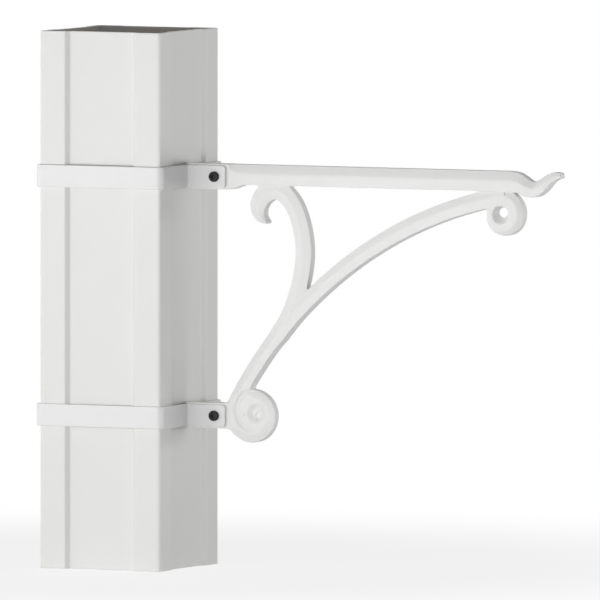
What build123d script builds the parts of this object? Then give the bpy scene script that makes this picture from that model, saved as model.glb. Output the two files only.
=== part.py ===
from build123d import *
import os
from math import acos, atan2, cos, degrees, hypot, radians, sin

# A plant hanger clamped to a square vinyl post. The origin is the centre of the
# post's foot, +Z is up, the arm points along +X and the screw heads face -Y.

# Post sleeve
post_side = 127.0
post_height = 511.0
post_corner = 3.0
sleeve_wall = 3.8
panel_width = 74.0
panel_depth = 4.0
panel_slope = 4.0
least_corner = 0.5

# Timber inside the sleeve and the two rings that centre it
core_side = 88.9
core_corner = 3.0
core_drop = 30.0
ring_height = 12.0
ring_inset = 40.0
ring_clearance = 0.2

# Clamp bands
band_height = 21.2
band_thickness = 3.2
band_clearance = 0.3
band_bend = 1.8
lower_band_z = 146.2
band_spacing = 227.2
ear_reach = 42.5
ear_corner = 3.0
ear_hole_inset = 11.0

# Screws, nuts and washers
screw_radius = 3.0
screw_hole_clearance = 0.3
screw_tail = 3.0
thread_clearance = 0.05
head_radius = 5.25
head_height = 3.3
head_round = 1.2
socket_across = 4.0
socket_depth = 2.0
nut_across = 10.0
nut_height = 5.0
washer_radius = 6.0
washer_thickness = 1.6

# Cast bars: flat as far as the ridge, then leaning in to a thinner outer edge
bar_thickness = 14.0
edge_thickness = 10.0
slope_width = 7.4
sections_along_bar = 25

# Arm, with the lug that the upper ears hold
lug_height = 24.4
lug_start = 0.5
lug_length = 42.5
lug_blend = 18.0
arm_height = 19.4
arm_slope_width = 8.9
least_slope = 1.0
arm_length = 338.5

# Hook at the arm's end: steps along and up from the end of the arm's ridge line,
# then the width above and below that line, from the arm to the tip
hook_line = [(0, 0), (11, -2.2), (18.3, -5.8), (24.5, -7.1), (30.5, -5.4),
             (37, -0.9), (43.3, 3.4), (49.3, 5.4), (54.3, 5.5)]
hook_above = [8.9, 8.9, 7.8, 7.0, 6.4, 5.6, 4.9, 4.0, 1.8]
hook_below = [10.5, 10.1, 9.4, 8.9, 7.8, 6.2, 4.9, 3.9, 1.8]
tip_thickness = 9.0
tip_edge_thickness = 7.0
tip_steps = 5

# Scroll at the brace's foot, measured from the post's face and the lower screw
foot_scroll_out = 67.7
foot_scroll_rise = 0.5
foot_scroll_radius = 24.7
eye_pit_radius = 4.0
eye_pit_depth = 1.5

# Open scroll at the brace's head, set back from the end of the straight arm
eyelet_setback = 8.1
eyelet_radius = 23.2
eyelet_sink = 2.0
eyelet_slope_width = 6.2
eyelet_end_radius = 14.2
eyelet_start_angle = 100.0
eyelet_end_angle = -205.0
eyelet_thinning = 0.38
eyelet_hub_radius = 12.5
eyelet_hub_lap = 3.0
eyelet_hole_radius = 4.5
eyelet_land = 2.0
eyelet_mouth_radius = 8.8
eyelet_mouth_drop = 2.0
eyelet_sections = 10

# Arched brace: its outer edge is one arc that wraps both scrolls, and its bar stops an
# angle short of each scroll's centre
brace_radius = 412.8
brace_foot_wrap = 3.0
brace_head_wrap = 1.5
brace_foot_width = 14.2
brace_head_width = 17.4
brace_stop = 1.0
brace_sections = 9

# Inner scroll: its line leaves the brace at these angles past the foot and heights over
# the brace's ridge, then takes steps along and up from the top of its curl
branch_line = [(10.0, 0), (13.8, 2.2), (18.2, 15.4)]
curl_out = 93.0
curl_drop = 4.4
stem_line = [(29, -60.2), (26.6, -37.6), (22, -22.6), (13, -7.5)]
curl_line = [(0, 0), (-9, -2.8), (-16, -9.3), (-18.7, -16), (-18, -22.5), (-14.7, -27.7), (-9.5, -30.6)]
branch_half = 5.0
stem_half = 7.5
stem_steps = 15
curl_halves = [7.7, 8.1, 8.1, 7.6, 5.6, 1.6]

# Worked out from the sizes above
face_x = post_side / 2
upper_band_z = lower_band_z + band_spacing
core_height = post_height - core_drop
band_inside = face_x + band_clearance
band_outside = band_inside + band_thickness
ear_end = face_x + ear_reach
hole_x = ear_end - ear_hole_inset
half_bar = bar_thickness / 2
half_edge = edge_thickness / 2
ear_face = half_bar + band_thickness
hole_radius = screw_radius + screw_hole_clearance
lug_from = face_x + lug_start
lug_to = face_x + lug_length
arm_from = lug_to + lug_blend
arm_to = face_x + arm_length
arm_top = upper_band_z + lug_height / 2
arm_bottom = arm_top - arm_height
ridge_z = arm_top - arm_slope_width
foot_scroll = Vector(face_x + foot_scroll_out, 0, lower_band_z + foot_scroll_rise)
eyelet = Vector(arm_to - eyelet_setback, 0, arm_bottom + eyelet_sink - eyelet_radius)


def brace_centre():
    """The point whose arc of brace_radius wraps both scrolls, below and right of the brace."""
    to_foot = brace_radius - brace_foot_wrap - foot_scroll_radius
    to_head = brace_radius - brace_head_wrap - eyelet_radius
    across = eyelet - foot_scroll
    spread = (to_foot**2 + across.length**2 - to_head**2) / (2 * to_foot * across.length)
    angle = atan2(across.Z, across.X) - acos(spread)
    return foot_scroll + Vector(cos(angle), 0, sin(angle)) * to_foot


arch = brace_centre()


def cylinder_y(radius, start, end, x, z):
    """A cylinder along Y from start to end."""
    disc = Plane((x, start, z), x_dir=(1, 0, 0), z_dir=(0, 1, 0)) * Circle(radius)
    return extrude(disc, end - start, dir=(0, 1, 0))


def sleeve_outline(inward):
    """The post's outline with its four recessed panels, moved inward by a wall."""
    corner = max(post_corner - inward, least_corner)
    outline = RectangleRounded(post_side - 2 * inward, post_side - 2 * inward, corner)
    mouth = panel_width / 2 + inward * (hypot(panel_slope, panel_depth) - panel_slope) / panel_depth
    floor = face_x - panel_depth - inward
    lip = face_x - inward
    panel = make_face(Polyline((floor, -mouth + panel_slope), (lip, -mouth), (post_side, -mouth),
                               (post_side, mouth), (lip, mouth), (floor, mouth - panel_slope),
                               close=True))
    for quarter in range(4):
        outline -= Rot(0, 0, 90 * quarter) * panel
    return outline


def post_sleeve():
    return extrude(sleeve_outline(0) - sleeve_outline(sleeve_wall), post_height)


def timber_core():
    return extrude(RectangleRounded(core_side, core_side, core_corner), core_height)


def centring_ring(z):
    inner_side = core_side + 2 * ring_clearance
    flat = sleeve_outline(sleeve_wall + ring_clearance)
    flat -= RectangleRounded(inner_side, inner_side, core_corner)
    return Pos(0, 0, z) * extrude(flat, ring_height)


def band(z):
    """A strap round the post: one bent strip with both ends turned out along +X."""
    middle = (band_inside + band_outside) / 2
    gap = half_bar + band_thickness / 2
    bend = band_bend + band_thickness / 2
    corner = post_corner + band_clearance + band_thickness / 2
    line = FilletPolyline((ear_end, -gap), (middle, -gap), (middle, -middle), (-middle, -middle),
                          (-middle, middle), (middle, middle), (middle, gap), (ear_end, gap),
                          radius=[bend, corner, corner, corner, corner, bend])
    start = Plane(line @ 0, x_dir=(0, 0, 1), z_dir=line % 0)
    strap = sweep(start * Rectangle(band_height, band_thickness), path=line, transition=Transition.RIGHT)
    strap = fillet(strap.edges().filter_by(Axis.Y).group_by(Axis.X)[-1], ear_corner)
    return Pos(0, 0, z) * (strap - cylinder_y(hole_radius, -post_side, post_side, hole_x, 0))


def screw(z):
    """Button head with a hexagon socket, and a plain shank of the thread's size."""
    tail = ear_face + washer_thickness + nut_height + screw_tail
    head = cylinder_y(head_radius, -ear_face - head_height, -ear_face, hole_x, z)
    head = fillet(head.edges().sort_by(Axis.Y)[0], head_round)
    socket = RegularPolygon(socket_across / 2, 6, major_radius=False)
    top = Plane((hole_x, -ear_face - head_height, z), x_dir=(1, 0, 0), z_dir=(0, 1, 0))
    head -= extrude(top * socket, socket_depth, dir=(0, 1, 0))
    return head + cylinder_y(screw_radius, -ear_face, tail, hole_x, z)


def washer(z):
    ring = cylinder_y(washer_radius, ear_face, ear_face + washer_thickness, hole_x, z)
    return ring - cylinder_y(hole_radius, ear_face, ear_face + washer_thickness, hole_x, z)


def nut(z):
    start = ear_face + washer_thickness
    seat = Plane((hole_x, start, z), x_dir=(1, 0, 0), z_dir=(0, 1, 0))
    block = extrude(seat * RegularPolygon(nut_across / 2, 6, major_radius=False), nut_height, dir=(0, 1, 0))
    bore = cylinder_y(screw_radius + thread_clearance, start, start + nut_height, hole_x, z)
    return block - bore


def bar_section(ridge, outward, inner, outer, half=half_bar, edge=half_edge):
    """A hexagon square to a bar: full thickness to the ridge, then leaning in to the outer edge."""
    def corner(step, y):
        return ridge + outward * step + Vector(0, y, 0)
    return make_face(Polyline(corner(-inner, -half), corner(-inner, half), corner(0, half),
                              corner(outer, edge), corner(outer, -edge), corner(0, -half),
                              close=True))


def blend(values, share):
    """The value at a share of the way along a list of evenly spaced values."""
    place = share * (len(values) - 1)
    first = min(int(place), len(values) - 2)
    return values[first] + (values[first + 1] - values[first]) * (place - first)


def bar_along(points, inner, outer, halves, edges):
    """A bar lofted along a smooth line; its outer side is on the left of the line's travel."""
    line = Spline(*points)
    sections = []
    for i in range(sections_along_bar):
        share = i / (sections_along_bar - 1)
        along = line % share
        sections.append(bar_section(line @ share, Vector(-along.Z, 0, along.X), blend(inner, share),
                                    blend(outer, share), blend(halves, share), blend(edges, share)))
    return loft(sections)


def hanger_arm():
    """Lug, straight bar and upturned hook, with the screw's hole through the lug."""
    up = Vector(0, 0, 1)
    lug_ridge = upper_band_z + lug_height / 2 - arm_slope_width
    below = lug_height - arm_slope_width
    lug = extrude(bar_section(Vector(lug_from, 0, lug_ridge), up, below, arm_slope_width, edge=half_bar),
                  lug_to - lug_from, dir=(1, 0, 0))
    shoulder = loft([
        bar_section(Vector(lug_to, 0, lug_ridge), up, below, arm_slope_width, edge=half_bar),
        bar_section(Vector(arm_from, 0, ridge_z), up, arm_height - arm_slope_width, arm_slope_width),
    ], ruled=True)
    bar = extrude(bar_section(Vector(arm_from, 0, ridge_z), up, arm_height - arm_slope_width,
                              arm_slope_width), arm_to - arm_from, dir=(1, 0, 0))
    points = [Vector(arm_to + dx, 0, ridge_z + dz) for dx, dz in hook_line]
    hook = bar_along(points, hook_below, hook_above, [half_bar] * tip_steps + [tip_thickness / 2],
                     [half_edge] * tip_steps + [tip_edge_thickness / 2])
    arm = lug + shoulder + bar + hook
    return arm - cylinder_y(hole_radius, -half_bar, half_bar, hole_x, upper_band_z)


def eyelet_scroll():
    """The brace's head: a bar that winds once round a funnel-mouthed hole and thins to its end."""
    sections = []
    for i in range(eyelet_sections):
        share = i / (eyelet_sections - 1)
        angle = radians(eyelet_start_angle + (eyelet_end_angle - eyelet_start_angle) * share)
        out = Vector(cos(angle), 0, sin(angle))
        thinned = max(share - eyelet_thinning, 0) / (1 - eyelet_thinning)
        eased = thinned**2 * (3 - 2 * thinned)
        radius = eyelet_radius - (eyelet_radius - eyelet_end_radius) * eased
        ridge = min(eyelet_radius - eyelet_slope_width, radius - least_slope)
        lean = (half_bar - half_edge) * (radius - ridge) / eyelet_slope_width
        sections.append(bar_section(eyelet + out * ridge, out, ridge - eyelet_hub_radius + eyelet_hub_lap,
                                    radius - ridge, edge=half_bar - lean))
    ring = loft(sections) + cylinder_y(eyelet_hub_radius, -half_bar, half_bar, eyelet.X, eyelet.Z)
    hole_z = eyelet.Z + eyelet_mouth_drop / 2
    mouth_z = eyelet.Z - eyelet_mouth_drop / 2
    for side in (-1, 1):
        facing = Plane((eyelet.X, side * half_bar, mouth_z), x_dir=(1, 0, 0), z_dir=(0, side, 0))
        throat = Plane((eyelet.X, side * eyelet_land / 2, hole_z), x_dir=(1, 0, 0), z_dir=(0, side, 0))
        ring -= loft([facing * Circle(eyelet_mouth_radius), throat * Circle(eyelet_hole_radius)])
    return ring - cylinder_y(eyelet_hole_radius, -half_bar, half_bar, eyelet.X, hole_z)


def lower_scroll():
    """The brace's foot: a solid disc with a leaning rim and a small pit on each face."""
    rim = foot_scroll_radius
    half = make_face(Polyline((0, -half_bar), (rim - slope_width, -half_bar), (rim, -half_edge),
                              (rim, half_edge), (rim - slope_width, half_bar), (0, half_bar), close=True))
    disc = revolve(half, Axis.Y)
    for side in (-1, 1):
        pit = cylinder_y(eye_pit_radius, side * half_bar, side * (half_bar - eye_pit_depth), 0, 0)
        disc -= pit
    return Pos(foot_scroll.X, 0, foot_scroll.Z) * disc


def arched_brace():
    """A bar on one arc, a little wider at its head than at its foot."""
    to_foot, to_head = foot_scroll - arch, eyelet - arch
    low = degrees(atan2(to_foot.Z, to_foot.X)) + brace_stop
    high = degrees(atan2(to_head.Z, to_head.X)) - brace_stop
    sections = []
    for i in range(brace_sections):
        share = i / (brace_sections - 1)
        angle = radians(low + (high - low) * share)
        out = Vector(cos(angle), 0, sin(angle))
        width = brace_foot_width + (brace_head_width - brace_foot_width) * share
        sections.append(bar_section(arch + out * (brace_radius - slope_width), out,
                                    width - slope_width, slope_width))
    return loft(sections)


def inner_scroll():
    """A bar that leaves the brace, rises, and curls over against the arm to a thin tip."""
    foot_angle = atan2((foot_scroll - arch).Z, (foot_scroll - arch).X)
    ridge = brace_radius - slope_width
    points = []
    for past, lift in branch_line:
        angle = foot_angle - radians(past)
        points.append(arch + Vector(cos(angle), 0, sin(angle)) * (ridge + lift))
    top = Vector(face_x + curl_out, 0, arm_bottom - curl_drop)
    points += [top + Vector(dx, 0, dz) for dx, dz in stem_line + curl_line]
    halves = [branch_half] + [stem_half] * stem_steps + curl_halves
    scroll = bar_along(points, halves, halves, [half_bar] * 2, [half_edge] * 2)
    return scroll - cylinder_y(ridge, -half_bar, half_bar, arch.X, arch.Z)


def lower_lug():
    """The plate between the lower ears, from the post to the scroll at the brace's foot."""
    plate_to = foot_scroll.X - foot_scroll_radius / 2
    plate = Pos((lug_from + plate_to) / 2, 0, lower_band_z) * Box(plate_to - lug_from, bar_thickness,
                                                                  lug_height)
    return plate - cylinder_y(hole_radius, -half_bar, half_bar, hole_x, lower_band_z)


arm = hanger_arm()
eyelet_part = eyelet_scroll() - arm
foot_part = lower_scroll()
hub = cylinder_y(eyelet_hub_radius, -half_bar, half_bar, eyelet.X, eyelet.Z)
brace_part = arched_brace() - arm - hub - eyelet_part - foot_part
inner_part = inner_scroll() - arm - brace_part
lug_part = lower_lug() - foot_part - brace_part

parts = {
    "post_sleeve": post_sleeve(),
    "timber_core": timber_core(),
    "lower_centring_ring": centring_ring(ring_inset),
    "upper_centring_ring": centring_ring(core_height - ring_inset - ring_height),
    "upper_band": band(upper_band_z),
    "lower_band": band(lower_band_z),
    "upper_screw": screw(upper_band_z),
    "lower_screw": screw(lower_band_z),
    "upper_washer": washer(upper_band_z),
    "lower_washer": washer(lower_band_z),
    "upper_nut": nut(upper_band_z),
    "lower_nut": nut(lower_band_z),
    "hanger_arm": arm,
    "arched_brace": brace_part,
    "eyelet_scroll": eyelet_part,
    "inner_scroll": inner_part,
    "lower_scroll": foot_part,
    "lower_lug": lug_part,
}

os.makedirs("parts", exist_ok=True)
for name, part in parts.items():
    export_step(part, f"parts/{name}.step")
    print(name, round(part.volume), len(part.solids()))
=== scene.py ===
from math import cos, pi, radians, sin
import bpy
import numpy as np
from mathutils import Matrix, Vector


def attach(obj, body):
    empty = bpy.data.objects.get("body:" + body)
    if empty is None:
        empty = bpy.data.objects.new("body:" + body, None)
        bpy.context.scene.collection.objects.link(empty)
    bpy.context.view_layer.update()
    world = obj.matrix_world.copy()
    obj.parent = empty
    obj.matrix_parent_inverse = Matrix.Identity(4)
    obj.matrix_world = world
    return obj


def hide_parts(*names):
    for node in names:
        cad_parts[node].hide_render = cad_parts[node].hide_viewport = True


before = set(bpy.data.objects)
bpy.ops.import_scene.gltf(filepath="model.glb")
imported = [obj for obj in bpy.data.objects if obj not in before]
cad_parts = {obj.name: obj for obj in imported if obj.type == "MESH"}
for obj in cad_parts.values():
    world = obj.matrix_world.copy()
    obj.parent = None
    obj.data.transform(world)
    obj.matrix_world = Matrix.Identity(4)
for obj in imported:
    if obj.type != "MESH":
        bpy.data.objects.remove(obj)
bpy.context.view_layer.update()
print("frame loaded:", len(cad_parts), "nodes")

# Sizes are in millimetres in the post's own frame; points turn into metres as a mesh is made.


# A mesh whose faces look outward: they turn round where the sum of c . (a x b) over its triangles is
# below nought
def makeMesh(name, points, quads, triangles):
    points = np.asarray(points, float)
    quads, triangles = np.asarray(quads, int).reshape(-1, 4), np.asarray(triangles, int).reshape(-1, 3)
    split = np.vstack([quads[:, :3], quads[:, [0, 2, 3]], triangles])
    a, b, c = points[split[:, 0]], points[split[:, 1]], points[split[:, 2]]
    if (np.cross(a, b) * c).sum() < 0:
        quads, triangles = quads[:, ::-1], triangles[:, ::-1]
    mesh = bpy.data.meshes.new(name)
    mesh.from_pydata((points * 0.001).tolist(), [], quads.tolist() + triangles.tolist())
    mesh.validate()
    mesh.shade_smooth()
    return mesh


# A piece that stands for CAD nodes and rides on their body; edges past the sharp angle stay crisp
def addPiece(name, shape, finish, body, stands, sharp=40):
    mesh = makeMesh(name, *shape)
    mesh.set_sharp_from_angle(angle=radians(sharp))
    mesh.materials.append(finishes[finish])
    piece = bpy.data.objects.new(name, mesh)
    bpy.context.scene.collection.objects.link(piece)
    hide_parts(*stands)
    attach(piece, body)
    print("  piece", name, len(mesh.vertices), "points")
    return piece


# Quads between neighbouring rows of a grid whose columns run round and close
def gridFaces(rows, columns, closeRows=False):
    i = np.arange(rows if closeRows else rows - 1)[:, None]
    j = np.arange(columns)[None, :]
    a, b = i * columns + j, i * columns + (j + 1) % columns
    c, d = (i + 1) % rows * columns + (j + 1) % columns, (i + 1) % rows * columns + j
    return np.stack([a, b, c, d], -1).reshape(-1, 4)


# Rings (rows, columns, 3) as a closed tube with one point as the pole of each end
def closedTube(rings):
    rows, columns = rings.shape[:2]
    points = np.vstack([rings.reshape(-1, 3), rings[0].mean(0), rings[-1].mean(0)])
    j = np.arange(columns)
    k = (j + 1) % columns
    last = (rows - 1) * columns
    first = np.stack([np.full(columns, rows * columns), k, j], 1)
    end = np.stack([np.full(columns, rows * columns + 1), last + j, last + k], 1)
    return points, gridFaces(rows, columns), np.vstack([first, end])


# Rings (rows, columns, 3) whose last row joins the first: a band, a nut or a pipe's wall
def closedRing(rings):
    return rings.reshape(-1, 3), gridFaces(*rings.shape[:2], closeRows=True), []


# A natural cubic through points, each coordinate against the length of the chords
def smoothLine(points, count):
    points = np.asarray(points, float)
    t = np.concatenate([[0], np.cumsum(np.hypot(*np.diff(points, axis=0).T))])
    h, n = np.diff(t), len(t)
    matrix, right = np.eye(n), np.zeros((n, 2))
    inside = np.arange(1, n - 1)
    matrix[inside, inside - 1], matrix[inside, inside] = h[:-1], 2 * (h[:-1] + h[1:])
    matrix[inside, inside + 1] = h[1:]
    slopes = np.diff(points, axis=0) / h[:, None]
    right[inside] = 6 * np.diff(slopes, axis=0)
    second = np.linalg.solve(matrix, right)
    x = np.linspace(0, t[-1], count)
    k = np.clip(np.searchsorted(t, x, side="right") - 1, 0, n - 2)
    u, v, w = (x - t[k])[:, None], (t[k + 1] - x)[:, None], h[k][:, None]
    return (second[k] * v**3 + second[k + 1] * u**3) / (6 * w) \
        + (points[k] / w - second[k] * w / 6) * v + (points[k + 1] / w - second[k + 1] * w / 6) * u


# Unit normals on the left of a path's travel
def leftOf(path):
    along = np.gradient(path, axis=0)
    along /= np.linalg.norm(along, axis=1, keepdims=True)
    return np.stack([-along[:, 1], along[:, 0]], 1)


# Loops (rows, points, 2): each corner becomes a quadratic curve that starts its rounding before the corner,
# or a set share of the shorter side before it, and each straight side is divided at the given shares
def roundedLoop(corners, rounding, steps=5, shares=(0.05, 0.35, 0.65, 0.95), most=0.45):
    corners = np.asarray(corners, float)
    before = np.roll(corners, 1, 1) - corners
    after = np.roll(corners, -1, 1) - corners
    lenBefore = np.linalg.norm(before, axis=2, keepdims=True)
    lenAfter = np.linalg.norm(after, axis=2, keepdims=True)
    wanted = np.broadcast_to(np.asarray(rounding, float), corners.shape[:2])[..., None]
    reach = np.minimum(wanted, most * np.minimum(lenBefore, lenAfter))
    start = corners + before * reach / np.maximum(lenBefore, 1e-9)
    end = corners + after * reach / np.maximum(lenAfter, 1e-9)
    t = np.linspace(0, 1, steps)[None, None, :, None]
    bend = (1 - t)**2 * start[:, :, None] + 2 * t * (1 - t) * corners[:, :, None] + t**2 * end[:, :, None]
    t = np.asarray(shares)[None, None, :, None]
    side = (1 - t) * end[:, :, None] + t * np.roll(start, -1, 1)[:, :, None]
    loop = np.concatenate([bend, side], 2)
    return loop.reshape(len(corners), -1, 2)


# A line smoothed by a bell of weights over its neighbouring steps, its ends held by an odd reflection
def eased(line, reach):
    bell = np.exp(-np.linspace(-2, 2, 2 * reach + 1)**2)
    held = np.pad(line, ((reach, reach), (0, 0)), mode="reflect", reflect_type="odd")
    return np.stack([np.convolve(held[:, k], bell / bell.sum(), "valid") for k in (0, 1)], 1)


# Rings of section loops (step to the path's left, step across) set square to a path
def carried(path, loops):
    normal = leftOf(path)
    return np.stack([path[:, 0, None] + normal[:, 0, None] * loops[:, :, 0], loops[:, :, 1],
                     path[:, 1, None] + normal[:, 1, None] * loops[:, :, 0]], 2)


# Rounded ends: each added ring moves on by the sine of a quarter turn and shrinks by its cosine, less so
# where the reach is short of a full round
def roundEnds(rings, reachFirst, reachLast, fullReach=2.5):
    ends = []
    turn = np.linspace(0, pi / 2, 7)[1:-1]
    for ring, beside, reach in ((rings[0], rings[1], reachFirst), (rings[-1], rings[-2], reachLast)):
        middle = ring.mean(0)
        way = middle - beside.mean(0)
        way /= np.linalg.norm(way)
        shrink = 1 - (1 - np.cos(turn)) * min(1, reach / fullReach)
        ends.append(middle + (ring - middle)[None] * shrink[:, None, None]
                    + way * (np.sin(turn) * reach)[:, None, None])
    return np.concatenate([ends[0][::-1], rings, ends[1]])


# Rings about a line along Y through (x, z), from rows of (radius, y) whose values may follow the angle
def turned(rows, angle, x, z):
    one = np.ones_like(angle)
    return np.stack([np.stack([x + radius * np.cos(angle), y * one, z + radius * np.sin(angle)], 1)
                     for radius, y in rows])


# A soft step: nought below 0, one above 1
def smooth(value):
    value = np.clip(value, 0, 1)
    return value * value * (3 - 2 * value)


# Values that stand evenly from 0 to 1, read at a share between them by straight lines
def spread(values, share):
    return np.interp(share, np.linspace(0, 1, len(values)), values)


# The piece less a round pin along Y at (x, z), cut exactly and kept as its own mesh
def drill(piece, radius, x, z):
    angle = np.linspace(0, 2 * pi, 48, endpoint=False)
    rows = [(radius, -pinReach), (radius, pinReach)]
    pin = bpy.data.objects.new("pin", makeMesh("pin", *closedTube(turned(rows, angle, x, z))))
    bpy.context.scene.collection.objects.link(pin)
    cut = piece.modifiers.new("hole", "BOOLEAN")
    cut.object, cut.operation, cut.solver = pin, "DIFFERENCE", "EXACT"
    seen = piece.evaluated_get(bpy.context.evaluated_depsgraph_get())
    mesh = bpy.data.meshes.new_from_object(seen)
    piece.modifiers.clear()
    plain = piece.data
    piece.data = mesh
    bpy.data.meshes.remove(plain)
    mesh.name = piece.name
    mesh.shade_smooth()
    mesh.set_sharp_from_angle(angle=radians(castSharp))
    bpy.data.objects.remove(pin)
    print("  drilled", piece.name, len(mesh.vertices), "points")


post = dict(side=127.0, height=511.0, corner=3.0, wall=3.8, panelWidth=74.0, panelDepth=4.0, panelSlope=4.0,
            lipRound=0.9, leastCorner=0.5, endRound=0.4, endShare=0.3, rowsFrom=40)
# The post's face, the clamp screws' places, half the castings' thickness and the ears' outer face
faceX = post["side"] / 2
bandZ = {"lower": 146.2, "upper": 373.4}
screwX = 95.0
half = 7.0
earFace = 10.2
# Half the length of the pin that cuts a hole, and the angle past which a cast edge stays crisp
pinReach = 30
castSharp = 60


# A socket with arithmetic: an expression on values adds its Math nodes
class Val:
    def __init__(self, tree, socket):
        self.tree, self.socket = tree, socket

    def math(self, operation, *others):
        return self.tree.node("ShaderNodeMath", dict(operation=operation), [self, *others])

    def __add__(self, other):
        return self.math("ADD", other)

    __radd__ = __add__

    def __mul__(self, other):
        return self.math("MULTIPLY", other)

    __rmul__ = __mul__

    def __sub__(self, other):
        return self.math("SUBTRACT", other)

    def __rsub__(self, other):
        return self * -1.0 + other


# The nodes of a material or a world: node() takes a type, its settings and its sockets' values or links
class Tree:
    def __init__(self, owner):
        self.owner = owner
        owner.use_nodes = True
        self.nodes, self.links = owner.node_tree.nodes, owner.node_tree.links
        self.nodes.clear()

    def node(self, kind, settings=None, inputs=(), out=0):
        made = self.nodes.new(kind)
        for key, value in (settings or {}).items():
            setattr(made, key, value)
        pairs = inputs.items() if isinstance(inputs, dict) else enumerate(inputs)
        for key, value in pairs:
            if isinstance(value, Val):
                self.links.new(value.socket, made.inputs[key])
            elif value is not None:
                made.inputs[key].default_value = value
        return Val(self, made.outputs[out]) if made.outputs else None

    # Object coordinates, in metres
    def where(self):
        return self.node("ShaderNodeTexCoord", {}, [], "Object")

    def stretched(self, place, scale, shift=(0.0, 0.0, 0.0)):
        return self.node("ShaderNodeMapping", {}, {
            "Vector": place, "Location": shift, "Scale": scale}, "Vector")

    def noise(self, place, scale, detail=3.0, rough=0.55):
        return self.node("ShaderNodeTexNoise", {}, {"Vector": place, "Scale": scale, "Detail": detail,
                                                    "Roughness": rough}, "Fac")

    # A soft step from low to high
    def between(self, value, low, high, toLow=0.0, toHigh=1.0):
        return self.node("ShaderNodeMapRange", dict(interpolation_type="SMOOTHSTEP"), {
            "Value": value, "From Min": low, "From Max": high, "To Min": toLow, "To Max": toHigh}, "Result")

    def mixColour(self, factor, first, second):
        return self.node("ShaderNodeMix", dict(data_type="RGBA"), {0: factor, 6: first, 7: second}, 2)

    def bump(self, height, strength, distance):
        return self.node("ShaderNodeBump", {}, {"Strength": strength, "Distance": distance, "Height": height})

    # One for the camera's rays and those of gloss and glass, nought for diffuse light
    def seenStraight(self):
        rays = [self.node("ShaderNodeLightPath", {}, [], ray)
                for ray in ("Is Camera Ray", "Is Glossy Ray", "Is Transmission Ray")]
        return rays[0].math("MAXIMUM", rays[1].math("MAXIMUM", rays[2]))


# A colour as a socket takes it, with full opacity
def rgb(r, g, b):
    return (r, g, b, 1.0)


# Satin white plastic: a faint cloud of two tones, drawn lines along Z and a few fine scuffs in the gloss
def plasticMaterial(name, colour, shade, rough):
    t = Tree(bpy.data.materials.new(name))
    p = t.where()
    cloud = t.noise(p, 18.0)
    lines = t.noise(t.stretched(p, (900.0, 900.0, 12.0)), 1.0, 2.0)
    scuffs = t.between(t.noise(t.stretched(p, (160.0, 160.0, 30.0)), 1.0, 4.0), 0.62, 0.72)
    t.node("ShaderNodeOutputMaterial", {}, {"Surface": t.node("ShaderNodeBsdfPrincipled", {}, {
        "Base Color": t.mixColour(cloud, rgb(*colour), rgb(*shade)),
        "Roughness": cloud * 0.08 + scuffs * 0.12 + rough,
        "Normal": t.bump(lines, 0.05, 0.0004), "Specular IOR Level": 0.4})})
    return t.owner


# White powder coat on a sand casting: orange peel over the sand's grain, sparse pits darkened with painted
# shade, and two near tones
def castMaterial(name, colour, shade, pitShadeColour):
    t = Tree(bpy.data.materials.new(name))
    p = t.where()
    cloud = t.noise(p, 45.0, 4.0)
    peel = t.noise(p, 650.0, 2.0, 0.5)
    grain = t.noise(p, 190.0, 3.0)
    cells = t.node("ShaderNodeTexVoronoi", {}, {"Vector": p, "Scale": 95.0, "Randomness": 1.0}, "Distance")
    pit = (1.0 - t.between(cells, 0.03, 0.10)) * t.between(t.noise(p, 60.0, 0.0), 0.66, 0.72)
    base = t.mixColour(cloud, rgb(*colour), rgb(*shade))
    t.node("ShaderNodeOutputMaterial", {}, {"Surface": t.node("ShaderNodeBsdfPrincipled", {}, {
        # the pits' darker colour is painted shade, standing in for the shade inside them
        "Base Color": t.mixColour(pit * 0.5, base, rgb(*pitShadeColour)),
        "Roughness": cloud * 0.12 + 0.42,
        "Normal": t.bump(peel * 0.35 + grain * 0.65 - pit * 1.6, 0.35, 0.0006), "Specular IOR Level": 0.45})})
    return t.owner


# Steel, plated or blackened: blotches of two tones and fine marks in the surface
def metalMaterial(name, colour, shade, rough, metallic, specular):
    t = Tree(bpy.data.materials.new(name))
    p = t.where()
    cloud = t.noise(p, 260.0, 4.0)
    t.node("ShaderNodeOutputMaterial", {}, {"Surface": t.node("ShaderNodeBsdfPrincipled", {}, {
        "Base Color": t.mixColour(cloud, rgb(*colour), rgb(*shade)), "Metallic": metallic,
        "Roughness": cloud * 0.2 + rough, "Normal": t.bump(t.noise(p, 2600.0, 2.0), 0.2, 0.0001),
        "Specular IOR Level": specular})})
    return t.owner


# Sawn softwood: growth rings about a heart off to one side, with fibres drawn out along Z
def timberMaterial(name, early, late, streak):
    t = Tree(bpy.data.materials.new(name))
    p = t.where()
    growth = t.node("ShaderNodeTexWave", dict(wave_type="RINGS", rings_direction="Z"), {
        "Vector": t.stretched(p, (1.0, 1.0, 0.04), (0.03, 0.06, 0.0)), "Scale": 38.0, "Distortion": 2.5,
        "Detail": 2.0, "Detail Scale": 1.5}, "Fac")
    fibre = t.noise(t.stretched(p, (900.0, 900.0, 20.0)), 1.0)
    t.node("ShaderNodeOutputMaterial", {}, {"Surface": t.node("ShaderNodeBsdfPrincipled", {}, {
        "Base Color": t.mixColour(fibre * 0.35, t.mixColour(growth, rgb(*early), rgb(*late)), rgb(*streak)),
        "Roughness": fibre * 0.1 + 0.66, "Normal": t.bump(fibre, 0.3, 0.0003)})})
    return t.owner


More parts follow.
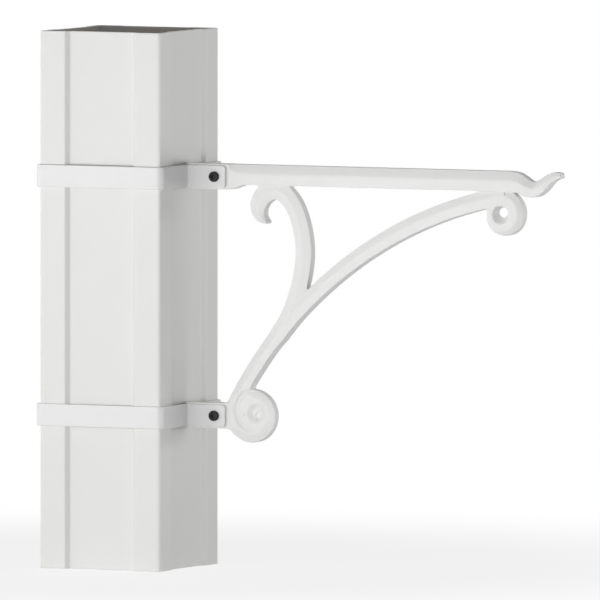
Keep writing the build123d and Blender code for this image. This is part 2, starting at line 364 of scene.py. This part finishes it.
finishes = dict(
    vinyl=plasticMaterial("satinVinyl", (0.765, 0.765, 0.750), (0.750, 0.751, 0.737), 0.38),
    # the cast finish's third colour is painted shade for its pits
    cast=castMaterial("castWhite", (0.850, 0.850, 0.846), (0.828, 0.828, 0.818), (0.42, 0.42, 0.41)),
    strap=plasticMaterial("strapWhite", (0.785, 0.785, 0.783), (0.770, 0.771, 0.769), 0.34),
    black=metalMaterial("blackSteel", (0.010, 0.010, 0.011), (0.018, 0.017, 0.017), 0.35, 0.0, 0.22),
    zinc=metalMaterial("zincSteel", (0.62, 0.63, 0.64), (0.48, 0.49, 0.51), 0.28, 1.0, 0.5),
    ring=plasticMaterial("ringPlastic", (0.035, 0.036, 0.038), (0.05, 0.05, 0.052), 0.5),
    timber=timberMaterial("coreTimber", (0.56, 0.38, 0.20), (0.36, 0.20, 0.09), (0.30, 0.17, 0.08)))
print("finishes made:", len(finishes))


# The post's square outline with a recessed panel in each side, as its wall's rows step inward from the face
def sleeveCorners(inward):
    inward = inward[:, None]
    square = faceX - inward
    mouth = post["panelWidth"] / 2 + inward * (2**0.5 - 1)
    floor = square - post["panelDepth"]
    foot = mouth - post["panelSlope"]
    side = np.stack([np.hstack([square, square, floor, floor, square]),
                     np.hstack([-square, -mouth, -mouth + post["panelSlope"], foot, mouth])], 2)
    x, y = side[..., 0], side[..., 1]
    return np.concatenate([side, np.stack([-y, x], 2), -side, np.stack([y, -x], 2)], 1)


# One wall in section (outer face up, over the end, inner face down, under the end) carried round the outline
def makeSleeve():
    end, wall, height = post["endRound"], post["wall"], post["height"]
    near = post["endShare"] * end
    middle = np.linspace(post["rowsFrom"], height - post["rowsFrom"], 8)
    up = np.concatenate([[end, end + 1], middle, [height - end - 1, height - end]])
    lid = np.array([(near, height - near), (end, height), (wall - end, height), (wall - near, height - near)])
    section = np.vstack([np.stack([0 * up, up], 1), lid, np.stack([0 * up + wall, up[::-1]], 1),
                         [wall, height] - lid * [1, 1]])
    inward, z = section[:, 0], section[:, 1]
    corner = np.maximum(post["corner"] - inward, post["leastCorner"])[:, None]
    lips = np.full((len(section), 4), post["lipRound"])
    rounding = np.tile(np.hstack([corner, lips]), (1, 4))
    loops = roundedLoop(sleeveCorners(inward), rounding, 6, (0.03, 0.35, 0.65, 0.97))
    rings = np.concatenate([loops, np.broadcast_to(z[:, None, None], loops.shape[:2] + (1,))], 2)
    addPiece("vinylSleeve", closedRing(rings), "vinyl", "post", ["post_sleeve"])


makeSleeve()
print("post made")


strap = dict(height=21.2, thickness=3.2, gap=0.3, earEnd=106.0, earCorner=3.0, endRound=0.5, endStep=0.16,
             bend=3.4, corner=4.9, edgeRound=0.7, hole=3.3)


# A flat line from one ear round the post to the middle of the far side: straights and quarter arcs,
# p = centre - v r cos t - u r sin t, with u and v the ways from a corner to its neighbours
def strapLine():
    middle = faceX + strap["gap"] + strap["thickness"] / 2
    between = half + strap["thickness"] / 2
    corners = np.array([(strap["earEnd"], -between), (middle, -between), (middle, -middle),
                        (-middle, -middle), (-middle, 0)])
    radii = [strap["bend"], strap["corner"], strap["corner"]]
    turn = np.linspace(0, pi / 2, 9)[:, None]
    # the ear's rounded end, closer steps where its corner turns
    start = np.arccos(1 - strap["endRound"] / strap["earCorner"])
    closing = np.arange(start, pi / 2, strap["endStep"])
    x = strap["earEnd"] - strap["earCorner"] * (1 - np.cos(closing))
    line = [np.stack([x, 0 * x - between], 1)]
    last = corners[0] - [strap["earCorner"], 0]
    for i, radius in enumerate(radii, 1):
        u, v = corners[i - 1] - corners[i], corners[i + 1] - corners[i]
        u, v = u / np.linalg.norm(u), v / np.linalg.norm(v)
        arc = corners[i] + (u + v) * radius - v * radius * np.cos(turn) - u * radius * np.sin(turn)
        share = np.array([0, 0.25, 0.5, 0.75, 0.985])[:, None]
        line += [last + (arc[0] - last) * share, arc]
        last = arc[-1]
    line += [last + (corners[-1] - last) * np.array([0.03, 0.5, 1.0])[:, None]]
    line = np.vstack(line)
    line = line[np.concatenate([[True], np.hypot(*np.diff(line, axis=0).T) > 0.01])]
    return np.vstack([line, (line * [1, -1])[-2::-1]])


# A rolled strap: a rounded oblong carried along the line, its height closing in round the ears' corners
def makeBand(which):
    path = strapLine()
    radius = strap["earCorner"]
    past = np.clip(path[:, 0] - (strap["earEnd"] - radius), 0, radius)
    tall = strap["height"] / 2 - radius + np.sqrt(radius**2 - past**2)
    thick = np.full(len(path), strap["thickness"] / 2)
    corners = np.stack([np.stack([-thick, -tall], 1), np.stack([thick, -tall], 1),
                        np.stack([thick, tall], 1), np.stack([-thick, tall], 1)], 1)
    rings = carried(path, roundedLoop(corners, [strap["edgeRound"]] * 4, 5, (0.04, 0.35, 0.65, 0.96)))
    rings = roundEnds(rings, strap["endRound"], strap["endRound"])[:, :, [0, 2, 1]] + [0, 0, bandZ[which]]
    piece = addPiece(which + "Strap", closedTube(rings), "strap", "hanger", [which + "_band"])
    drill(piece, strap["hole"], screwX, bandZ[which])


for which in bandZ:
    makeBand(which)
print("bands made")


fastener = dict(headRadius=4.95, headHeight=3.3, headRound=1.2, rimBreak=0.25, seatBreak=0.2, socket=4.0,
                socketDepth=2.0, socketPole=0.02, shank=3.0, tailEnd=19.8, tailBreak=0.3, tailLess=0.9,
                threadFrom=7.6, threadEnd=0.6, pitch=1.0, threadDepth=0.55, threadSteps=8, washer=6.0,
                washerThick=1.6, washerBreak=0.15, bore=3.3, nut=10.0, nutHeight=5.0, nutBore=3.05,
                boreBreak=0.3, chamfer=0.6)
around = np.linspace(0, 2 * pi, 120, endpoint=False)


# Radius of a hexagon against the angle: half its width over the cosine of the angle from a flat's middle
def hexRadius(across):
    return across / 2 / np.cos(np.mod(around + radians(30), radians(60)) - radians(30))


# Button head with a hexagon socket, plain shank and a helix:
# radius = shank - depth (1 - cos of rise minus turn) / 2
def makeScrew(which):
    f, socket = fastener, hexRadius(fastener["socket"])
    top, r = -earFace - f["headHeight"], f["headRadius"]
    bend = np.linspace(0, pi / 2, 7)
    rows = [(socket * f["socketPole"], top + f["socketDepth"]), (socket, top + f["socketDepth"]),
            (socket, top + f["rimBreak"]), (socket + f["rimBreak"], top)]
    rows += [(r - f["headRound"] * (1 - sin(t)), top + f["headRound"] * (1 - cos(t))) for t in bend]
    rows += [(r, -earFace - f["seatBreak"]), (r - f["seatBreak"], -earFace), (f["shank"], -earFace),
             (f["shank"], 0.0)]
    for y in np.arange(f["threadFrom"], f["tailEnd"] - f["threadEnd"], f["pitch"] / f["threadSteps"]):
        deep = f["threadDepth"] * min(1, (y - f["threadFrom"]) / f["pitch"])
        rows.append((f["shank"] - deep / 2 * (1 - np.cos(2 * pi * y / f["pitch"] - around)), y))
    rows += [(f["shank"] - f["threadDepth"] - 0.1, f["tailEnd"] - f["tailBreak"]),
             (f["shank"] - f["tailLess"], f["tailEnd"])]
    addPiece(which + "ButtonScrew", closedTube(turned(rows, around, screwX, bandZ[which])), "black",
             which + "_screw", [which + "_screw"], 35)


# A flat ring with broken edges
def makeWasher(which):
    f, y, soft = fastener, earFace, fastener["washerBreak"]
    end = y + f["washerThick"]
    rows = [(f["bore"], y + soft), (f["bore"] + soft, y), (f["washer"] - soft, y), (f["washer"], y + soft),
            (f["washer"], end - soft), (f["washer"] - soft, end), (f["bore"] + soft, end),
            (f["bore"], end - soft)]
    addPiece(which + "PlainWasher", closedRing(turned(rows, around, screwX, bandZ[which])), "zinc", "hanger",
             [which + "_washer"], 30)


# A hexagon limited near each end by a cone, so that its corners are turned off, and a bore with broken edges
def makeNut(which):
    f = fastener
    start, hexagonal = earFace + f["washerThick"], hexRadius(fastener["nut"])
    end = start + f["nutHeight"]
    step = np.linspace(0, f["chamfer"], 5)
    soft = f["boreBreak"]
    cone = [np.minimum(hexagonal, f["nut"] / 2 - soft + s * 3**0.5) for s in step]
    rows = [(f["nutBore"], start + soft), (f["nutBore"] + soft, start)]
    rows += [(c, start + s) for c, s in zip(cone, step)]
    rows += [(c, end - s) for c, s in zip(cone[::-1], step[::-1])]
    rows += [(f["nutBore"] + soft, end), (f["nutBore"], end - soft)]
    addPiece(which + "HexNut", closedRing(turned(rows, around, screwX, bandZ[which])), "zinc", "hanger",
             [which + "_nut"], 25)


for which in bandZ:
    makeScrew(which)
    makeWasher(which)
    makeNut(which)
print("fasteners made")


casting = dict(lugFrom=64.0, lugTo=106.0, shoulderTo=124.0, armTo=402.0, armTop=385.6, armBottom=366.2,
               lugBottom=361.2, ridgeDrop=8.9, leanFrom=108.4, leanTo=124.0, leastLean=0.08, edgeHalf=3.4,
               edgeRound=0.8, ridgeRound=1.4, fillet=3.0, hole=3.3, waveSize=34.0, waveHeight=0.10,
               rowStep=1.5, fineStep=0.5, fineFrom=104, fineTo=128, endSlack=1.5, endRound=0.6)
hook = dict(
    line=[(0, 0), (11, -2.2), (18.3, -5.8), (24.5, -7.1), (30.5, -5.4), (37, -0.9), (43.3, 3.4),
          (49.3, 5.4), (54.3, 5.5)],
    above=[8.9, 8.9, 7.8, 7.0, 6.4, 5.6, 4.9, 4.0, 2.3],
    below=[10.5, 10.1, 9.4, 8.9, 7.8, 6.2, 4.9, 3.9, 2.3],
    startGap=2.0, taperFrom=0.6, tipHalf=4.5, tipEdge=3.3, tipTo=454.2, tipRound=2.4)
footScroll = dict(x=131.2, z=146.7, radius=25.3, slope=7.4, lean=2.8, face=6.94, ridgeSoft=1.2,
                  wallShare=0.67)
eyelet = dict(x=393.9, z=345.0, radius=23.2, ridge=17.0, endRadius=14.2, hole=4.8, holeLift=1.0, mouth=8.8,
              land=1.0, face=6.985, lean=3.2, leastSlope=1.0, rounding=[0.5, 1.0, 1.8, 1.3],
              startAngle=100.0, runsFor=305.0, thinFrom=0.38, backOver=40.0)
brace = dict(radius=412.8, slope=7.4, footWidth=14.2, headWidth=17.4, footWrap=3.0, headWrap=1.5, face=6.97,
             edgeHalf=4.0, endGap=1.0)
scroll = dict(
    branch=[(10.0, 0), (13.8, 2.2), (18.2, 15.4)],
    stem=[(29, -60.2), (26.6, -37.6), (22, -22.6), (13, -7.5)],
    curl=[(0, 0), (-9, -2.8), (-16, -9.3), (-18.7, -16), (-18, -22.5), (-14.7, -27.7), (-9.5, -30.6)],
    halves=[5.0] + [7.5] * 15 + [7.7, 8.1, 8.1, 7.6, 5.6, 1.6], curlOut=93.0, curlDrop=4.4, face=6.95,
    innerHalf=4.6, edgeHalf=4.6, ease=9, openEase=24, widen=1.5, widenEnds=5, endRound=1.4)
lug = dict(tall=12.2, into=17.6, rowStep=1.0)


# Centre of the arc that wraps both scrolls, by the law of cosines on its distances to their centres, and the
# angles of the two scrolls from it
def braceArc():
    toFoot = brace["radius"] - brace["footWrap"] - footScroll["radius"]
    toHead = brace["radius"] - brace["headWrap"] - eyelet["radius"]
    foot = np.array([footScroll["x"], footScroll["z"]])
    head = np.array([eyelet["x"], eyelet["z"]])
    across = head - foot
    length = np.hypot(*across)
    turn = np.arccos((toFoot**2 + length**2 - toHead**2) / (2 * toFoot * length))
    angle = np.arctan2(across[1], across[0]) - turn
    centre = foot + toFoot * np.array([cos(angle), sin(angle)])
    return centre, np.arctan2(*(foot - centre)[::-1]), np.arctan2(*(head - centre)[::-1])


arcCentre, footAngle, headAngle = braceArc()


# Section corners (step across the bar, step in Y): flat as far as the ridge, then leaning to the outer edge
def hexagon(inner, outer, innerY, ridgeY, edgeY, ridgeAt):
    front = np.stack([np.stack([-inner, -innerY], 1), np.stack([ridgeAt, -ridgeY], 1),
                      np.stack([outer, -edgeY], 1)], 1)
    return np.concatenate([front, front[:, ::-1] * [1, -1]], 1)


# Flat distance from points to a bar: past its outer or inner edge at the nearest step of its path
def barBeside(points, path, inner, outer):
    normal = leftOf(path)
    gap = points[:, None] - path[None]
    near = (gap**2).sum(2).argmin(1)
    gap = gap[np.arange(len(points)), near]
    side = (gap * normal[near]).sum(1)
    tangent = np.stack([normal[near][:, 1], -normal[near][:, 0]], 1)
    along = np.abs((gap * tangent).sum(1)) - casting["endSlack"]
    return np.maximum(np.maximum(side - outer[near], -side - inner[near]), along)


# Flat distance from points to a disc: how far off its centre they lie, less its radius
def discBeside(points, centre, radius):
    return np.hypot(points[:, 0] - centre[0], points[:, 1] - centre[1]) - radius


# How far an edge moves out to lie on the rounded union with its neighbours: the move d at which the
# smooth minimum of d and the distance to the neighbour is nought, at most a quarter of the fillet's reach
def filletWidth(edge, normal, others, reach):
    move = np.zeros(len(edge))
    for beside in others:
        d = np.zeros(len(edge))
        for _ in range(8):
            b = beside(edge + normal * d[:, None])
            blend = np.clip(reach - np.abs(d - b), 0, None) / reach
            d = np.clip(d - (np.minimum(d, b) - blend**2 * reach / 4), 0, reach / 4)
        move = np.maximum(move, d * np.clip((beside(edge) + reach) / reach, 0, 1))
    return move


# Soft unevenness of a sand casting: the mean of four sine waves of set directions, the same for every piece
def unevenness(points):
    rng = np.random.default_rng(3)
    way = rng.normal(size=(4, 3))
    way *= rng.uniform(0.7, 1.4, (4, 1)) / np.linalg.norm(way, axis=1, keepdims=True)
    turns = points @ way.T / casting["waveSize"] + rng.uniform(0, 1, 4)
    return np.sin(2 * pi * turns).mean(-1) * casting["waveHeight"]


relief = dict(
    grooveAngle=[70, 84, 109, 125, 146, 165, 186, 211, 237, 262, 284, 308],
    grooveRadius=[24.5, 23.6, 22.0, 19.7, 16.7, 15.1, 13.6, 13.2, 13.0, 13.1, 13.7, 16.0],
    grooveDepth=[0.0, 0.6, 1.3, 1.6, 1.6, 1.6, 1.6, 1.6, 1.5, 1.2, 0.7, 0.0],
    grooveHalf=1.9, bowlX=6.4, bowlZ=2.6, bowlRadius=10.5, bowlDepth=3.0, bowlSteep=1.5, pitX=9.2, pitZ=0.3,
    pitRadius=6.0, pitDepth=1.7, pitEdge=2.8, pitFrom=-4.5, pitFade=8.0, leanFrom=205.0, leanFull=240.0,
    leanAgain=72.0, leanEnd=98.0, leanSplit=150)


# How deep the foot scroll's face lies under its flat: a groove along a spiral, a bowl and a pit, each a
# smooth step or a bell of the distance from it
def reliefDepth(x, z):
    x, z = x - footScroll["x"], z - footScroll["z"]
    radius, angle = np.hypot(x, z), np.degrees(np.arctan2(z, x)) % 360
    groove = np.interp(angle, relief["grooveAngle"], relief["grooveRadius"])
    depth = np.interp(angle, relief["grooveAngle"], relief["grooveDepth"], left=0, right=0)
    sunk = depth * np.exp(-((radius - groove) / relief["grooveHalf"])**2)
    bowl = np.hypot(x - relief["bowlX"], z - relief["bowlZ"]) / relief["bowlRadius"]
    sunk += relief["bowlDepth"] * smooth(relief["bowlSteep"] * (1 - bowl))
    pit = np.hypot(x - relief["pitX"], z - relief["pitZ"])
    fade = 1 - smooth((x - relief["pitX"] - relief["pitFrom"]) / relief["pitFade"])
    return sunk + relief["pitDepth"] * smooth((relief["pitRadius"] - pit) / relief["pitEdge"]) * fade


# A bar's rings with the casting's unevenness on both faces, sunk where the foot scroll's groove crosses it
def castSurface(rings):
    y = rings[..., 1]
    flatShare = np.abs(y) / half
    depth = reliefDepth(rings[..., 0], rings[..., 2]) - unevenness(rings * [1, 0, 1])
    rings[..., 1] = y - np.sign(y) * depth * flatShare
    return rings


# A cast bar: a rounded hexagon carried along a line, widened into fillets beside its neighbours
def makeBar(name, bar, others, node, ends, shares=(0.05, 0.35, 0.65, 0.95)):
    path, inner, outer, innerY, ridgeY, edgeY, ridgeAt = bar
    normal = leftOf(path)
    outer = outer + filletWidth(path + normal * outer[:, None], normal, others, casting["fillet"])
    inner = inner + filletWidth(path - normal * inner[:, None], -normal, others, casting["fillet"])
    rounding = [casting["edgeRound"], casting["ridgeRound"], casting["edgeRound"]] * 2
    loops = roundedLoop(hexagon(inner, outer, innerY, ridgeY, edgeY, ridgeAt), rounding, 5, shares)
    rings = castSurface(roundEnds(carried(path, loops), *ends))
    return addPiece(name, closedTube(rings), "cast", "hanger", [node], castSharp)


# The arm: straight from the post, its upper lean run in on a quarter ellipse, then a smooth line to the
# hook's tip
def armShape():
    ridgeZ = casting["armTop"] - casting["ridgeDrop"]
    step, fine = casting["rowStep"], casting["fineStep"]
    x = np.concatenate([np.arange(casting["lugFrom"], casting["fineFrom"], step),
                        np.arange(casting["fineFrom"] + fine, casting["fineTo"], fine),
                        np.arange(casting["fineTo"] + fine, casting["armTo"] - hook["startGap"], step)])
    hookPath = smoothLine([(casting["armTo"] + dx, ridgeZ + dz) for dx, dz in hook["line"]], 140)
    rise = smooth((x - casting["lugTo"] - 1.5) / (casting["shoulderTo"] - casting["lugTo"] + 2))
    under = ridgeZ - (casting["lugBottom"] + (casting["armBottom"] - casting["lugBottom"]) * rise)
    share = np.linspace(0, 1, len(hookPath))
    kept = hookPath[:, 0] < hook["tipTo"]
    hookPath, share = hookPath[kept], share[kept]
    path = np.vstack([np.stack([x, np.full(len(x), ridgeZ)], 1), hookPath])
    taper = np.clip((share - hook["taperFrom"]) / (1 - hook["taperFrom"]), 0, 1)
    run = np.clip((x - casting["leanFrom"]) / (casting["leanTo"] - casting["leanFrom"]), 0, 1)
    lean = casting["leastLean"] + (1 - casting["leastLean"]) * np.sqrt(1 - (1 - run)**2)
    edge = casting["edgeHalf"]
    inner = np.concatenate([under, spread(hook["below"], share)])
    outer = np.concatenate([np.full(len(x), casting["ridgeDrop"]), spread(hook["above"], share)])
    ridgeY = np.concatenate([np.full(len(x), half), half + (hook["tipHalf"] - half) * taper])
    edgeY = np.concatenate([half - (half - edge) * lean, edge + (hook["tipEdge"] - edge) * taper])
    ridgeAt = np.concatenate([casting["ridgeDrop"] * (1 - lean), 0 * share])
    return path, inner, outer, ridgeY, ridgeY, edgeY, ridgeAt


# The brace: one arc, a little wider at its head than at its foot
def braceShape():
    gap = radians(brace["endGap"])
    angle = np.linspace(footAngle + gap, headAngle - gap, 260)
    share = np.linspace(0, 1, len(angle))
    path = arcCentre + (brace["radius"] - brace["slope"]) * np.stack([np.cos(angle), np.sin(angle)], 1)
    width = brace["footWidth"] + (brace["headWidth"] - brace["footWidth"]) * share
    one = np.ones(len(angle))
    return (path, width - brace["slope"], one * brace["slope"], one * brace["face"], one * brace["face"],
            one * brace["edgeHalf"], one * 0)


# The inner scroll: off the brace, up and round its curl, leaning both ways from a ridge down its middle
def scrollShape():
    ridge = brace["radius"] - brace["slope"]
    turn = footAngle - np.radians([past for past, lift in scroll["branch"]])
    reach = ridge + np.array([lift for past, lift in scroll["branch"]])
    points = arcCentre + reach[:, None] * np.stack([np.cos(turn), np.sin(turn)], 1)
    top = np.array([faceX + scroll["curlOut"], casting["armBottom"] - scroll["curlDrop"]])
    path = smoothLine(np.vstack([points, top + np.array(scroll["stem"] + scroll["curl"])]), 230)
    # easing the line, and then its inner edge, takes the tightness out of the curl's top
    path = eased(path, scroll["ease"])
    halves = spread(scroll["halves"], np.linspace(0, 1, len(path)))
    normal = leftOf(path)
    opened = ((eased(path + normal * halves[:, None], scroll["openEase"]) - path) * normal).sum(1)
    rising = np.linspace(0, scroll["widenEnds"], len(path))
    right = halves + scroll["widen"] * smooth(np.minimum(rising, rising[::-1]))
    one = np.ones(len(path))
    return (path, right, opened, one * scroll["innerHalf"], one * scroll["face"], one * scroll["edgeHalf"],
            one * 0)


# The lug: a flat plate from the post into the foot scroll's ring
def lugShape():
    x = np.arange(casting["lugFrom"], footScroll["x"] - lug["into"], lug["rowStep"])
    one = np.ones(len(x))
    path = np.stack([x, one * bandZ["lower"]], 1)
    return path, one * lug["tall"], one * lug["tall"], one * half, one * half, one * half, one * 0


# Outer radius of the eyelet's ring against the angle: it thins by a smooth step from the right side round
# the bottom to its end, then comes back to full size inside the brace
def eyeletRadius(angle):
    past, end = np.mod(radians(eyelet["startAngle"]) - angle, 2 * pi), radians(eyelet["runsFor"])
    thinned = smooth((past / end - eyelet["thinFrom"]) / (1 - eyelet["thinFrom"]))
    change = eyelet["radius"] - eyelet["endRadius"]
    back = np.clip((past - end) / radians(eyelet["backOver"]), 0, 1)
    return np.where(past > end, eyelet["endRadius"] + change * back, eyelet["radius"] - change * thinned)


armBar, braceBar, scrollBar, lugBar = armShape(), braceShape(), scrollShape(), lugShape()
eyeCentre = np.array([eyelet["x"], eyelet["z"]])
footCentre = np.array([footScroll["x"], footScroll["z"]])


# The distance to one neighbour as a function of points: a bar, the eyelet at each point's angle, or the disc
def besideBar(bar):
    return lambda points: barBeside(points, *bar[:3])


def besideEye(points):
    return discBeside(points, eyeCentre, eyeletRadius(np.arctan2(*(points - eyeCentre).T[::-1])))


def besideFoot(points):
    return discBeside(points, footCentre, footScroll["radius"])


besideArm, besideBrace, besideScroll, besideLug = map(besideBar, (armBar, braceBar, scrollBar, lugBar))
armPiece = makeBar("castArm", armBar, [besideScroll, besideBrace, besideEye], "hanger_arm",
                   (casting["endRound"], hook["tipRound"]))
drill(armPiece, casting["hole"], screwX, bandZ["upper"])
makeBar("castBrace", braceBar, [besideArm, besideScroll, besideEye, besideFoot, besideLug], "arched_brace",
        (casting["endRound"], casting["endRound"]), (0.04, 0.2, 0.4, 0.6, 0.8, 0.96))
makeBar("castInnerScroll", scrollBar, [besideArm, besideBrace], "inner_scroll",
        (casting["endRound"], scroll["endRound"]))
lugPiece = makeBar("castLug", lugBar, [besideFoot, besideBrace], "lower_lug",
                   (casting["endRound"], casting["endRound"]))
drill(lugPiece, casting["hole"], screwX, bandZ["lower"])


# The eyelet in polar steps: up the hole, out along the funnel and the flat, over the ridge, down the slope to
# the outer wall, and back the same way on the other side; the funnel's throat sits higher than its mouth
def makeEyelet():
    angle = np.linspace(0, 2 * pi, 180, endpoint=False)
    way = np.stack([np.cos(angle), np.sin(angle)], 1)
    outer = eyeletRadius(angle)
    edge = eyeCentre + way * outer[:, None]
    outer = outer + filletWidth(edge, way, [besideArm, besideBrace], casting["fillet"])
    ridge = np.minimum(eyelet["ridge"], outer - eyelet["leastSlope"])
    face, one = eyelet["face"], np.ones_like(angle)
    edgeY = face - eyelet["lean"] * (outer - ridge) / (eyelet["radius"] - eyelet["ridge"])
    front = np.stack([np.stack([eyelet["hole"] * one, -eyelet["land"] * one], 1),
                      np.stack([eyelet["mouth"] * one, -face * one], 1), np.stack([ridge, -face * one], 1),
                      np.stack([outer, -edgeY], 1)], 1)
    corners = np.concatenate([front, front[:, ::-1] * [1, -1]], 1)
    loops = roundedLoop(corners, eyelet["rounding"] + eyelet["rounding"][::-1], 6)
    radius, depth = loops[:, :, 0], loops[:, :, 1]
    funnel = np.clip((eyelet["mouth"] - radius) / (eyelet["mouth"] - eyelet["hole"]), 0, 1) * 2
    flat = np.clip((eyelet["ridge"] - radius) / (eyelet["ridge"] - eyelet["mouth"]), 0, 1)
    rings = np.stack([eyelet["x"] + way[:, 0, None] * radius, depth,
                      eyelet["z"] + way[:, 1, None] * radius + (funnel - flat) * eyelet["holeLift"]], 2)
    addPiece("castEyelet", closedRing(castSurface(rings)), "cast", "hanger", ["eyelet_scroll"])


# The foot scroll in polar steps: a disc whose faces lean past a ridge except where the lug and brace run in
# flush, sunk by the relief, with a rim rounded as a quarter circle
def makeFootScroll():
    angle = np.linspace(0, 2 * pi, 220, endpoint=False)
    way = np.stack([np.cos(angle), np.sin(angle)], 1)
    outer = footScroll["radius"] + filletWidth(footCentre + way * footScroll["radius"], way,
                                               [besideBrace, besideLug], casting["fillet"])
    radius = outer[:, None] * np.linspace(0, 1, 66)[None, 1:]
    x, z = way[:, 0, None] * radius, way[:, 1, None] * radius
    turn = np.degrees(angle)
    below = smooth((turn - relief["leanFrom"]) / (relief["leanFull"] - relief["leanFrom"]))
    above = smooth((relief["leanEnd"] - turn) / (relief["leanEnd"] - relief["leanAgain"]))
    leaning = np.where(turn > relief["leanSplit"], below, above)
    past = radius - (outer[:, None] - footScroll["slope"])
    sunk = (np.sqrt(past**2 + footScroll["ridgeSoft"]) + past) / 2
    sunk = sunk * footScroll["lean"] / footScroll["slope"] * leaning[:, None]
    sunk = sunk + reliefDepth(x + footScroll["x"], z + footScroll["z"])
    rim = np.clip((radius - outer[:, None]) / casting["edgeRound"] + 1, 0, 1)
    sunk = sunk + casting["edgeRound"] * (1 - np.sqrt(1 - rim**2))
    front = np.stack([x + footScroll["x"], sunk - footScroll["face"], z + footScroll["z"]], 2)
    front[..., 1] -= unevenness(front * [1, 0, 1])
    edge = front[:, -1:]
    share = np.linspace(footScroll["wallShare"], -footScroll["wallShare"], 5)
    wall = edge * np.stack([np.ones(5), share, np.ones(5)], 1)[None]
    rings = np.concatenate([front, wall, front[:, ::-1] * [1, -1, 1]], 1).transpose(1, 0, 2)
    addPiece("castFootScroll", closedTube(rings), "cast", "hanger", ["lower_scroll"])


makeEyelet()
makeFootScroll()
print("casting made")

# The hidden pieces keep their CAD meshes
for name, finish in (("timber_core", "timber"), ("lower_centring_ring", "ring"),
                     ("upper_centring_ring", "ring")):
    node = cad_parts[name]
    node.data.materials.clear()
    node.data.materials.append(finishes[finish])


studio = dict(floorSize=30.0, shadowTo=0.30, whiteFrom=0.9, nearWhite=0.82, floorColour=(0.93, 0.93, 0.93),
              soft=0.22, target=(0.15, 0.0, 0.26))
# Soft boxes: where each stands in metres, its width and height, and its power in watts
lamps = dict(
    key=((-1.70, -2.64, 0.32), 1.6, 0.5, 18.0),
    left=((-2.85, -1.09, 0.32), 1.6, 0.5, 16.0),
    low=((0.30, -2.40, 0.10), 1.6, 0.16, 15.0),
    bounce=((0.10, -1.30, 0.03), 1.8, 0.9, 7.5),
    side=((2.62, 0.90, 0.26), 2.2, 0.4, 23.0))


# The floor: real shade near the post, and for the camera and for gloss plain white further off
def makeFloor():
    t = Tree(bpy.data.materials.new("paleFloor"))
    away = t.node("ShaderNodeVectorMath", dict(operation="LENGTH"), [t.where()], "Value")
    far = t.between(away, studio["shadowTo"], studio["whiteFrom"], studio["nearWhite"], 1.0)
    dull = t.node("ShaderNodeBsdfDiffuse", {}, {"Color": rgb(*studio["floorColour"])})
    bright = t.node("ShaderNodeEmission", {}, {"Color": rgb(1, 1, 1), "Strength": 1.0})
    t.node("ShaderNodeOutputMaterial", {}, {"Surface": t.node("ShaderNodeMixShader", {}, {
        0: far * t.seenStraight(), 1: dull, 2: bright})})
    size = studio["floorSize"]
    mesh = bpy.data.meshes.new("floor")
    corners = [(-size, -size, 0), (size, -size, 0), (size, size, 0), (-size, size, 0)]
    mesh.from_pydata(corners, [], [(0, 1, 2, 3)])
    mesh.materials.append(t.owner)
    floor = bpy.data.objects.new("floor", mesh)
    bpy.context.scene.collection.objects.link(floor)


# The world: a dim even light on the object, and plain white for the camera and for gloss
def makeWorld():
    world = bpy.data.worlds.new("studio")
    bpy.context.scene.world = world
    t = Tree(world)
    soft = t.node("ShaderNodeBackground", {}, {"Color": rgb(1, 1, 1), "Strength": studio["soft"]})
    white = t.node("ShaderNodeBackground", {}, {"Color": rgb(1, 1, 1), "Strength": 1.0})
    t.node("ShaderNodeOutputWorld", {}, {"Surface": t.node("ShaderNodeMixShader", {}, {
        0: t.seenStraight(), 1: soft, 2: white})})


# A rectangular soft box that faces the studio's target
def makeLamp(name, place, width, height, power):
    lamp = bpy.data.lights.new(name, "AREA")
    lamp.shape = "RECTANGLE"
    lamp.size, lamp.size_y, lamp.energy = width, height, power
    holder = bpy.data.objects.new(name, lamp)
    holder.location = place
    holder.rotation_euler = (Vector(studio["target"]) - Vector(place)).to_track_quat("-Z", "Y").to_euler()
    bpy.context.scene.collection.objects.link(holder)


# Degrees, millimetres of lens and sensor, pixels to a millimetre at the middle, and moves in pixels
view = dict(azimuth=25.834, elevation=3.313, roll=0.034, lens=1500.0, sensor=36.0, pixels=600, scale=1.0554,
            middle=(0.180, 0.0, 0.258), shiftX=-0.376, shiftY=0.118, clipStart=1.0, clipEnd=200.0)


# The camera looks at the middle from the photograph's angle, at the distance that its lens needs for the
# scale: lens / sensor x pixels / scale
def makeCamera():
    a, e = radians(view["azimuth"]), radians(view["elevation"])
    back = Vector((sin(a) * cos(e), -cos(a) * cos(e), sin(e)))
    distance = view["lens"] / view["sensor"] * view["pixels"] / view["scale"] / 1000
    camera = bpy.data.objects.new("photoCamera", bpy.data.cameras.new("photoCamera"))
    camera.data.lens, camera.data.sensor_width = view["lens"], view["sensor"]
    camera.data.clip_start, camera.data.clip_end = view["clipStart"], view["clipEnd"]
    facing = (-back).to_track_quat("-Z", "Y")
    right, up = facing.to_matrix().col[0], facing.to_matrix().col[1]
    pixel = 0.001 / view["scale"]
    aside = (right * view["shiftX"] + up * view["shiftY"]) * pixel
    camera.location = Vector(view["middle"]) + back * distance - aside
    camera.rotation_euler = facing.to_euler()
    camera.rotation_euler.rotate_axis("Z", radians(view["roll"]))
    bpy.context.scene.collection.objects.link(camera)
    bpy.context.scene.camera = camera


makeFloor()
makeWorld()
for name, lamp in lamps.items():
    makeLamp(name + "Lamp", *lamp)
makeCamera()
bpy.context.scene.view_settings.view_transform = "Standard"
print("stage, lamps and camera made")
